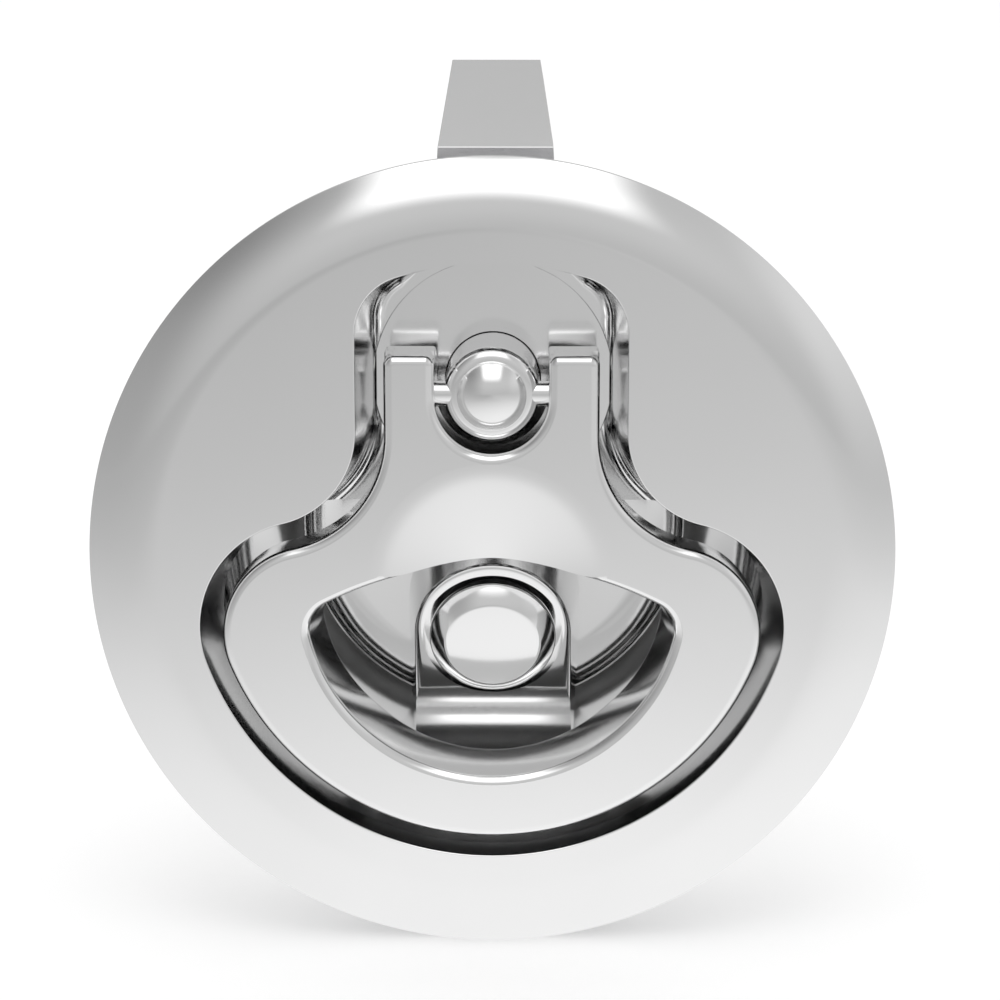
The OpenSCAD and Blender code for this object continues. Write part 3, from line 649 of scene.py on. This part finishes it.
def openingRings():
    # round lip at the front, straight wall, round lip at the back
    lip, back = opening["backLip"], handle["plateBack"]
    turn = np.radians(np.linspace(*opening["backDeg"], 4))
    rings = frontLip(opening["lip"]) + [(0, back - lip)]
    rings += [(-lip * (1 - math.cos(t)), back - lip * (1 - math.sin(t))) for t in turn]
    return rings + [(-lip - cutLip["outside"], back + cutLip["beyond"])]


def openingLean(points):
    # the opening slants up behind the face, its lower side more than the rest, and narrows a little
    o = opening
    t = np.clip((o["topZ"] - o["lowFrom"] - points[:, 1]) / o["lowOver"], 0, 1)
    upper, lower = (math.tan(math.radians(o[name])) for name in ("tiltDeg", "lowTiltDeg"))
    return np.column_stack([-o["narrow"] * points[:, 0], upper + (lower - upper) * t * t * (3 - 2 * t)])


def dishSolid():
    # shallow cone: the depth falls evenly outwards, d = (u + sqrt(u*u + soft*soft)) / 2 rounds its rim
    slope = dish["depth"] / dish["radius"]
    r = np.linspace(0, dish["radius"] + dish["skirt"], dish["steps"])
    u = (dish["radius"] - r) * slope
    depth = (u + np.sqrt(u**2 + dish["soft"] ** 2)) / 2 - dish["sink"]
    profile = list(zip(r, faceY + depth)) + [(r[-1], faceY - 1), (0, faceY - 1)]
    return turned("dishCut", profile, centre=(0, 0, dish["centreZ"]), steps=160)


def heelSide():
    # cam about the pin, as depth and height: the reach falls evenly as the handle lifts, so it is an involute
    a = np.radians(np.linspace(90, 0, 31))
    rate = heel["stroke"] / (math.pi / 2)
    reach = heel["reach"] - heel["stroke"] * a / (math.pi / 2)
    cam = np.column_stack([reach * np.cos(a) + rate * np.sin(a), reach * np.sin(a) - rate * np.cos(a)])
    plateY = handle["plateBack"] - pinY
    frontY, footZ = plateY - heel["sunk"], -rate - heel["foot"]
    top = [(frontY, heel["reach"] - heel["stroke"] - heel["topGap"])]
    side = np.vstack([top, cam[1:], [(plateY - heel["footGap"], footZ), (frontY, footZ)]])
    return tidyOutline(side + [pinY, shaftZ])


def crossBore(radius, half):
    # round cutter along X on the axis of the pin
    circle = arcPoints((pinY, shaftZ), radius, 0, 352, 8)
    return lofted("crossBore", circle, [(0, -half), (0, half)], along="x")


def makeHandle():
    # plate with round edges and two cam heels behind its arms, less the opening, the dish and the pin bore
    front = roundEdge(handle["frontR"], 6)
    back = roundEdge(handle["backR"], 4)[::-1]
    rings = [(inset, faceY + depth) for inset, depth in front]
    rings += [(inset, handle["plateBack"] - depth) for inset, depth in back]
    plate = lofted("handle_plate", handleOutline(), rings)
    for side in (1, -1):
        e, soft = heel["edge"], heel["edge"] * heel["soft"]
        x0, x1 = handle["notchHalf"], handle["armHalf"]
        steps = [(e, x0), (soft, x0 + soft), (0, x0 + e), (0, x1 - e), (soft, x1 - soft), (e, x1)]
        arm = lofted("heel", heelSide(), [(i, side * x) for i, x in steps], along="x")
        combine(plate, arm, "UNION")
    combine(plate, lofted("openingCut", openingOutline(), openingRings(), lean=openingLean))
    combine(plate, dishSolid())
    combine(plate, crossBore(handle["boreR"], 12))
    return finished(plate, "lift_handle", "handle", handleSteel, 24)


makeHandle()


# shaft, pin and plug

shaft = dict(radius=4.5, headY=-3.9, domeR=3.25, domeH=1.5, crease=0.18, endR=4.0, endY=38.4,
             shoulderY=22.6, pitch=1.25, depth=0.6, flatsHalf=3.2, boreR=1.21, stemSoft=0.4, endSoft=0.6)
pin = dict(radius=1.2, halfL=9.95, crown=0.35)
plug = dict(headR=6.1, headH=2.0, chamfer=1.5, soft=0.25, stemR=4.0, stemL=8.0, stemSoft=0.5, gap=0.01)


def makeShaft():
    # dome, small fillet, round shoulder and straight stem, then a threaded end with two flats
    s = shaft
    ballR = (s["domeR"] ** 2 + s["domeH"] ** 2) / (2 * s["domeH"])
    ballY = s["headY"] + ballR
    shoulderY = s["headY"] + s["domeH"]
    filletY = shoulderY - s["crease"]
    filletR = math.sqrt((ballR + s["crease"]) ** 2 - (ballY - filletY) ** 2)
    meetA = math.degrees(math.atan2(filletY - ballY, filletR))
    roundR = s["radius"] - s["domeR"]
    dome = arcPoints((0, ballY), ballR, -90, meetA, 2)
    crease = arcPoints((filletR, filletY), s["crease"], meetA + 180, 90, 12)
    startA = math.degrees(math.asin((filletR - s["domeR"]) / roundR)) - 90
    turn = arcPoints((s["domeR"], shoulderY + roundR), roundR, startA + 4, 0, 5)
    soft = s["stemSoft"]
    stem = [(s["radius"], s["shoulderY"] - soft), (s["radius"] - soft, s["shoulderY"])]
    profile = np.vstack([dome, crease, turn, stem, [(0, s["shoulderY"])]])
    body = turned("shaft_stem", profile, centre=(0, 0, shaftZ), steps=160)
    y0, y1 = s["shoulderY"] - 0.6, s["endY"] - 0.5
    rows = [(0, y0)] + threadRows(s["endR"], y0, y1, s["pitch"])
    rows += [(s["endR"] - s["endSoft"], s["endY"]), (0, s["endY"])]
    end = turned("shaft_end", rows, centre=(0, 0, shaftZ), steps=96,
                 wave=threadWave(s["pitch"], s["depth"], s["shoulderY"] + 0.5, s["endY"] + 3))
    f = s["flatsHalf"]
    combine(end, block("flats", (-f, y0 - 1, shaftZ - 9), (f, s["endY"] + 1, shaftZ + 9)), "INTERSECT")
    combine(body, end, "UNION")
    combine(body, crossBore(s["boreR"], 9))
    return finished(body, "pivot_shaft", "shaft", mirrorSteel, 26)


def makePin():
    # round bar along X with crowned ends
    crown = [(pin["radius"] * (1 - c), -pin["halfL"] + pin["crown"] * (1 - math.sqrt(1 - (1 - c) ** 2)))
             for c in np.linspace(0.9, 0, 6)]
    rings = [(pin["radius"] - r, x) for r, x in crown]
    rings += [(inset, -x) for inset, x in rings[::-1]]
    circle = arcPoints((pinY, shaftZ), pin["radius"], 0, 354, 6)
    bar = lofted("pivot_bar", circle, rings, along="x")
    return finished(bar, "pivot_pin", "handle", mirrorSteel, 40)


def makePlug():
    # flat face, broad chamfer with soft edges, straight side and stem, on the tilted axis
    p = plug
    r, h, c, s = p["headR"], p["headH"], p["chamfer"], p["soft"]
    profile = [(0, -h), (r - c - s, -h), (r - c - s * 0.35, -h + s * 0.12), (r - c + s * 0.4, -h + s * 0.5),
               (r - s * 0.5, -h + c - s * 0.4), (r - s * 0.1, -h + c + s * 0.1), (r, -h + c + s),
               (r, -p["gap"])]
    stemR, stemL, soft = p["stemR"], p["stemL"], p["stemSoft"]
    profile += [(stemR, -p["gap"]), (stemR, stemL - soft), (stemR - soft, stemL), (0, stemL)]
    place = (0, boss["plugY"], boss["plugZ"])
    head = turned("plug_head", profile, centre=place, tilt=boss["tilt"], steps=160)
    return finished(head, "blank_plug", "case", mirrorSteel, 40)


makeShaft()
makePin()
makePlug()


# rings and washers

ringSizes = dict(gasketW=3.0, gasketSoft=0.2, backingGap=0.05, backingSoft=0.2, wearSoft=0.08,
                 lockR=4.05, lockSoft=0.12)


def ringPiece(name, node, body, material, r0, r1, y0, y1, soft, centreZ=0.0, steps=160):
    # rectangle with cut corners, turned as a closed loop
    cut = soft * 0.3
    loop = [(r0 + soft, y0), (r1 - soft, y0), (r1 - cut, y0 + cut), (r1, y0 + soft), (r1, y1 - soft),
            (r1 - cut, y1 - cut), (r1 - soft, y1), (r0 + soft, y1), (r0 + cut, y1 - cut),
            (r0, y1 - soft), (r0, y0 + soft), (r0 + cut, y0 + cut)]
    ring = turned(name, loop, centre=(0, 0, centreZ), steps=steps, loop=True)
    return finished(ring, node, body, material, 50)


gasketLow, gasketHigh = nodeBox("flange_gasket")
backingLow, backingHigh = nodeBox("backing_washer")
nutLow, nutHigh = nodeBox("ring_nut")
ringPiece("wear_disc", "wear_plate", "case", mirrorSteel, bores["shaftR"], wearHigh[0],
          wearLow[1], wearHigh[1], ringSizes["wearSoft"], shaftZ)
ringPiece("gasket_ring", "flange_gasket", "case", sealRubber,
          gasketHigh[0] - ringSizes["gasketW"], gasketHigh[0], gasketLow[1], gasketHigh[1],
          ringSizes["gasketSoft"])
ringPiece("backing_ring", "backing_washer", "case", satinSteel,
          flange["barrelR"] + ringSizes["backingGap"], backingHigh[0], backingLow[1], backingHigh[1],
          ringSizes["backingSoft"])
for sideName in ("front", "rear"):
    low, high = nodeBox(sideName + "_lock_washer")
    ringPiece(sideName + "_lock_ring", sideName + "_lock_washer", "shaft", satinSteel,
              ringSizes["lockR"], high[0], low[1], high[1], ringSizes["lockSoft"], shaftZ, 96)

ringNut = dict(slots=6, slotW=6.0, slotH=2.0, chamfer=0.8, boreR=31.35, boreSoft=0.5)


def makeRingNut():
    # turned ring with chamfers, less its spanner slots
    n = ringNut
    r0, r1, y0, y1, c = n["boreR"], nutHigh[0], nutLow[1], nutHigh[1], n["chamfer"]
    soft = n["boreSoft"]
    loop = [(r0, y0), (r1 - c, y0), (r1, y0 + c), (r1, y1 - c), (r1 - c, y1),
            (r0 + soft, y1), (r0, y1 - soft)]
    nut = turned("ring_nut_slotted", loop, steps=192, loop=True)
    half = n["slotW"] / 2
    for k in range(n["slots"]):
        a = 2 * math.pi * k / n["slots"]
        along = np.array([math.cos(a), -math.sin(a)])
        across = np.array([math.sin(a), math.cos(a)])
        inner = r1 - n["slotH"]
        corners = [along * inner - across * half, along * (r1 + 3) - across * half,
                   along * (r1 + 3) + across * half, along * inner + across * half]
        combine(nut, lofted("slotCut", corners, [(0, y0 - 1), (0, y1 + 1)]))
    return finished(nut, "ring_nut", "case", satinSteel, 30, bevel=0.2)


makeRingNut()


# nuts, stop washer, stop pins, pawl and spring

nut = dict(width=13.0, chamfer=0.55, boreR=4.01, boreSoft=0.4)
stopTab = dict(width=3.0, length=11.3, angle=270.0, tipR=0.5, soft=0.12)
keyGap = 0.05  # between a keyed hole and the flats of the shaft
pawl = dict(thick=3.0, width=14.0, bendW=11.8, tipW=8.8, bendZ=20.0, tipL=11.7, bendDeg=45.0, bendR=0.15)
spring = dict(wire=1.1, outer=14.6, turns=4.5, flatTurns=0.75, stepsPerTurn=48, wireSteps=14)


def keyedOutline(clear):
    # circle with two flats, as the threaded end has
    r, f = shaft["endR"] + clear, shaft["flatsHalf"] + clear
    a = math.degrees(math.acos(f / r))
    right = arcPoints((0, 0), r, a, 180 - a, 6)
    left = arcPoints((0, 0), r, 180 + a, 360 - a, 6)
    return np.vstack([right, left])


def makeNut(side):
    # hexagon kept inside a turned blank with chamfered ends, less the bore
    low, high = nodeBox(side + "_nut")
    y0, y1 = low[1], high[1]
    tipR = nut["width"] / 2 / math.cos(math.radians(30))
    flatR = nut["width"] / 2
    drop = nut["chamfer"]
    profile = [(0, y0), (flatR, y0), (tipR, y0 + drop), (tipR, y1 - drop), (flatR, y1), (0, y1)]
    blank = turned(side + "_hex_nut", profile, centre=(0, 0, shaftZ), steps=96)
    corner = np.radians(np.arange(6) * 60)
    hexagon = np.column_stack([np.cos(corner), np.sin(corner)]) * tipR + [0, shaftZ]
    combine(blank, lofted("hexCut", hexagon, [(0, y0 - 1), (0, y1 + 1)]), "INTERSECT")
    r, soft = nut["boreR"], nut["boreSoft"]
    bore = [(0, y0 - 1), (r + soft + 1, y0 - 1), (r + soft, y0), (r, y0 + soft), (r, y1 - soft),
            (r + soft, y1), (r + soft + 1, y1 + 1), (0, y1 + 1)]
    combine(blank, turned("nutBore", bore, centre=(0, 0, shaftZ), steps=96))
    return finished(blank, side + "_nut", "shaft", satinSteel, 28)


def makeStopWasher():
    # disc with one tab, keyed to the shaft's flats
    low, high = nodeBox("stop_washer")
    r = spring["outer"] / 2
    half, reach = stopTab["width"] / 2, stopTab["length"]
    a, down = math.degrees(math.asin(half / r)), stopTab["angle"]
    rim = arcPoints((0, 0), r, down + a, down + 360 - a, 3)
    tip, soft = stopTab["tipR"], stopTab["soft"]
    tab = np.vstack([arcPoints((-half + tip, -reach + tip), tip, down - 90, down, 15),
                     arcPoints((half - tip, -reach + tip), tip, down, down + 90, 15)])
    outline = np.vstack([rim, tab]) + [0, shaftZ]
    y0, y1 = low[1], high[1]
    disc = lofted("stop_disc", outline, [(soft, y0), (0, y0 + soft), (0, y1 - soft), (soft, y1)])
    combine(disc, lofted("keyCut", keyedOutline(keyGap) + [0, shaftZ], [(0, y0 - 1), (0, y1 + 1)]))
    return finished(disc, "stop_washer", "shaft", satinSteel, 40)


def makeStopPins():
    # two straight pins with rounded ends, in one mesh
    low, high = nodeBox("stop_pins")
    r, soft, endR = stops["bore"] - stops["gap"], stops["soft"], stops["endR"]
    y0, y1 = low[1], high[1]
    profile = [(0, y0), (r - soft, y0), (r, y0 + soft), (r, y1 - endR)]
    profile += [tuple(p) for p in arcPoints((r - endR, y1 - endR), endR, 15, 90, 15)] + [(0, y1)]
    pair = [turned("stop_pin_pair", profile, centre=place, steps=48) for place in stopPlaces()]
    both = combine(pair[0], pair[1], "UNION")
    return finished(both, "stop_pins", "case", satinSteel, 40)


def makePawl():
    # bent strip: straight foot, arc of the bend, sloping tip; cut to the tapering outline seen from the front
    p = pawl
    low, high = nodeBox("pawl")
    y0, t, a = low[1], p["thick"], math.radians(p["bendDeg"])
    bendZ = shaftZ + p["bendZ"]
    # the strip leans back (+Y), so its front has the outer side of the bend
    setback = math.tan(a / 2)
    centre = (y0 + p["bendR"], bendZ - p["bendR"] * setback)
    front = arcPoints(centre, p["bendR"], 180, 180 - p["bendDeg"], 12)
    tipFront = np.array([y0 + p["tipL"] * math.sin(a), bendZ + p["tipL"] * math.cos(a)])
    tipBack = tipFront + np.array([t * math.cos(a), -t * math.sin(a)])
    foot = shaftZ - p["width"] / 2 - 1
    bendBack = (y0 + t, bendZ - t * setback)
    side = np.vstack([[(y0, foot)], front, [tipFront], [tipBack], [bendBack], [(y0 + t, foot)]])
    strip = lofted("pawl_bent", side, [(0, -p["width"]), (0, p["width"])], along="x")
    tangent = math.degrees(math.atan2((p["width"] - p["bendW"]) / 2, p["bendZ"]))
    bendX, tipX, topZ = p["bendW"] / 2, p["tipW"] / 2, tipFront[1] + 1
    outline = np.vstack([arcPoints((0, shaftZ), p["width"] / 2, 180 - tangent, 360 + tangent, 4),
                         [(bendX, bendZ), (tipX, topZ), (-tipX, topZ), (-bendX, bendZ)]])
    combine(strip, lofted("pawlOutline", outline, [(0, y0 - 1), (0, high[1] + 2)]), "INTERSECT")
    combine(strip, lofted("keyCut", keyedOutline(keyGap) + [0, shaftZ], [(0, y0 - 1), (0, y0 + t + 1)]))
    return finished(strip, "pawl", "shaft", mirrorSteel, 30, bevel=0.16)


def makeSpring():
    # round wire along a helix: the path climbs evenly between two flat end turns
    low, high = nodeBox("return_spring")
    w, meanR = spring["wire"] / 2, (spring["outer"] - spring["wire"]) / 2
    turns, flat = spring["turns"], spring["flatTurns"]
    s = np.linspace(0, 1, int(turns * spring["stepsPerTurn"]) + 1)
    climb = np.clip((s * turns - flat) / (turns - 2 * flat), 0, 1)
    a = s * turns * 2 * math.pi
    ring = np.linspace(0, 2 * math.pi, spring["wireSteps"], endpoint=False)
    r = meanR + w * np.cos(ring)[None, :]
    y = low[1] + w + (high[1] - low[1] - 2 * w) * climb[:, None] + w * np.sin(ring)[None, :]
    points = np.stack([r * np.cos(a)[:, None], y, shaftZ - r * np.sin(a)[:, None]], 2)
    shape = (len(s), len(ring))
    coil = meshFrom("spring_coil", points.reshape(-1, 3), gridFaces(*shape) + capFaces(*shape))
    coil.data.materials.append(springWire)
    coil.data.polygons.foreach_set("use_smooth", np.ones(len(coil.data.polygons), bool))
    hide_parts("return_spring")
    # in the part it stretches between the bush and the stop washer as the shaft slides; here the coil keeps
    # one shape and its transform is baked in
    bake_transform(coil)
    print("piece spring_coil")
    return coil


for sideName in ("front", "rear"):
    makeNut(sideName)
makeStopWasher()
makeStopPins()
makePawl()
makeSpring()
print("pieces made")


# floor, light and camera

# places here are in metres; tones are shares of white
viewpoint = dict(place=(0.0035, -0.267, 0.0647), turn=(77.5, 0.0, 0.59), lens=104.4, sensor=36, nearest=0.01)
keyLight = dict(place=(0.0, -0.48, 1.0), aim=(0, 0, 0), size=(0.56, 0.56), power=1.5)
# ground tones by distance from the object: a painted contact shadow within about 1 cm, a painted pool of
# light near 2 cm that fades outwards; sideX and sideLevel paint light that is brighter on the right
ground = dict(half=6.0, sideX=(-0.12, 0.12), sideLevel=(0.92, 1.16), matte=0.7, glow=0.38, tones=(
    (0.0, 0.4), (0.01, 0.62), (0.022, 0.96), (0.04, 0.94), (0.07, 0.84), (0.11, 0.735), (0.17, 0.63),
    (0.24, 0.57), (0.36, 0.535), (0.6, 0.51), (1.0, 0.49)))
room = dict(tones=((0.0, 0.52), (0.2, 0.56), (0.42, 0.62), (0.7, 0.58), (1.0, 0.52)), plain=0.9, white=1)
softbox = dict(lowZ=(0.47, 0.78), highZ=(0.994, 0.975), sideX=(0.46, 0.25), frontY=(0.02, -0.02),
               strength=1.0, leftX=(-0.25, -0.9), leftLoss=0.42, rightX=(0.6, 0.9), rightGain=0.2,
               sideBase=0.22)


def grey(tone):
    # one tone as an opaque colour
    return (tone, tone, tone, 1)


def greyRamp(nodes, tones):
    # smooth curve through (place, tone) pairs
    ramp = nodes.new("ShaderNodeValToRGB")
    ramp.color_ramp.interpolation = "B_SPLINE"
    elements = ramp.color_ramp.elements
    while len(elements) < len(tones):
        elements.new(0.5)
    for element, (place, tone) in zip(elements, tones):
        element.position = place
        element.color = grey(tone)
    return ramp


def makeFloor():
    # to the camera a matt, pale floor that glows a little; metal sees a glowing tone by the distance from the
    # object that is painted light and shade:
    # a painted contact shadow at the object, a painted pool of light just beyond it that fades outwards,
    # times a level that grows from left to right as painted light from the right
    size = ground["half"]
    mesh = bpy.data.meshes.new("floor")
    z = houseLow[2] * mm
    corners = [(-size, -size, z), (size, -size, z), (size, size, z), (-size, size, z)]
    mesh.from_pydata(corners, [], [(0, 1, 2, 3)])
    floor = bpy.data.objects.new("floor", mesh)
    bpy.context.scene.collection.objects.link(floor)
    material = bpy.data.materials.new("paleFloor")
    material.use_nodes = True
    nodes, links = material.node_tree.nodes, material.node_tree.links
    nodes.clear()
    out = nodes.new("ShaderNodeOutputMaterial")
    coord = nodes.new("ShaderNodeTexCoord")
    length = nodes.new("ShaderNodeVectorMath")
    length.operation = "LENGTH"
    # painted shade and light by distance: a contact shadow close to the object, then a pool of light that
    # fades outwards
    ramp = greyRamp(nodes, ground["tones"])
    links.new(coord.outputs["Object"], length.inputs[0])
    links.new(length.outputs["Value"], ramp.inputs["Fac"])
    seen = nodes.new("ShaderNodeEmission")
    links.new(ramp.outputs["Color"], seen.inputs["Color"])
    split = nodes.new("ShaderNodeSeparateXYZ")
    links.new(coord.outputs["Object"], split.inputs[0])
    # painted light: the floor that metal sees grows brighter from left to right
    tilt = nodes.new("ShaderNodeMapRange")
    setRange(tilt, ground["sideX"], ground["sideLevel"])
    links.new(split.outputs["X"], tilt.inputs["Value"])
    links.new(tilt.outputs["Result"], seen.inputs["Strength"])
    matte = nodes.new("ShaderNodeBsdfDiffuse")
    matte.inputs["Color"].default_value = grey(ground["matte"])
    glow = nodes.new("ShaderNodeEmission")
    glow.inputs["Strength"].default_value = ground["glow"]
    white = nodes.new("ShaderNodeAddShader")
    links.new(matte.outputs[0], white.inputs[0])
    links.new(glow.outputs[0], white.inputs[1])
    path = nodes.new("ShaderNodeLightPath")
    pick = eitherShader(nodes, links, path.outputs["Is Camera Ray"], seen, white)
    links.new(pick.outputs[0], out.inputs["Surface"])
    mesh.materials.append(material)


def blended(nodes, links, value, low, high):
    # smooth step of a value from 0 at low to 1 at high, or falling where low is above high
    step = nodes.new("ShaderNodeMapRange")
    step.interpolation_type = "SMOOTHSTEP"
    setRange(step, sorted((low, high)), (0, 1) if high > low else (1, 0))
    links.new(value, step.inputs["Value"])
    return step.outputs["Result"]


def makeWorld():
    # white to the camera, plain to matt surfaces; metal sees a grey room, its tone by height, plus a softbox
    # high in front whose mask is the product of four smooth steps
    world = bpy.data.worlds.new("studio")
    bpy.context.scene.world = world
    world.use_nodes = True
    nodes, links = world.node_tree.nodes, world.node_tree.links
    nodes.clear()
    out = nodes.new("ShaderNodeOutputWorld")
    coord = nodes.new("ShaderNodeTexCoord")
    split = nodes.new("ShaderNodeSeparateXYZ")
    links.new(coord.outputs["Generated"], split.inputs[0])
    x, y, z = split.outputs
    ramp = greyRamp(nodes, room["tones"])
    links.new(z, ramp.inputs["Fac"])

    def step(value, name):
        return blended(nodes, links, value, *softbox[name])

    def times(first, second):
        return arithmetic(nodes, links, "MULTIPLY", first, second)

    def plus(first, second):
        return arithmetic(nodes, links, "ADD", first, second)

    mask = times(step(z, "lowZ"), step(z, "highZ"))
    mask = times(mask, step(arithmetic(nodes, links, "ABSOLUTE", x), "sideX"))
    mask = times(mask, step(y, "frontY"))
    light = times(mask, softbox["strength"])
    # the room is darker on the left, and a pale panel stands on the right, both more so higher up
    left = times(step(x, "leftX"), -softbox["leftLoss"])
    right = times(step(x, "rightX"), softbox["rightGain"])
    sides = times(plus(left, right), plus(z, softbox["sideBase"]))
    level = plus(plus(ramp.outputs["Color"], sides), light)
    seen, plain, white = (nodes.new("ShaderNodeBackground") for _ in range(3))
    links.new(level, seen.inputs["Color"])
    plain.inputs["Color"].default_value = grey(room["plain"])
    white.inputs["Color"].default_value = grey(room["white"])
    path = nodes.new("ShaderNodeLightPath")
    metal = eitherShader(nodes, links, path.outputs["Is Glossy Ray"], plain, seen)
    pick = eitherShader(nodes, links, path.outputs["Is Camera Ray"], metal, white)
    links.new(pick.outputs[0], out.inputs["Surface"])


def areaLamp(name, place, aim, size, power):
    # rectangle that shines from its place towards its aim: tilt from the drop, turn from the plan direction
    lamp = bpy.data.lights.new(name, "AREA")
    lamp.shape = "RECTANGLE"
    lamp.size, lamp.size_y = size
    lamp.energy = power
    holder = bpy.data.objects.new(name, lamp)
    bpy.context.scene.collection.objects.link(holder)
    holder.location = place
    holder.visible_glossy = False  # metal sees the soft-edged softbox of the world instead
    toward = np.array(aim) - np.array(place)
    holder.rotation_euler = (math.atan2(math.hypot(toward[0], toward[1]), -toward[2]), 0,
                             math.atan2(toward[0], -toward[1]) + math.pi)


makeFloor()
makeWorld()
areaLamp("keyLight", **keyLight)

camera = bpy.data.cameras.new("camera")
camera.sensor_width = viewpoint["sensor"]
camera.lens = viewpoint["lens"]
camera.clip_start = viewpoint["nearest"]
viewer = bpy.data.objects.new("camera", camera)
viewer.location = viewpoint["place"]
viewer.rotation_euler = [math.radians(v) for v in viewpoint["turn"]]
bpy.context.scene.collection.objects.link(viewer)
bpy.context.scene.camera = viewer
bpy.context.scene.view_settings.view_transform = "Standard"
print("studio set")
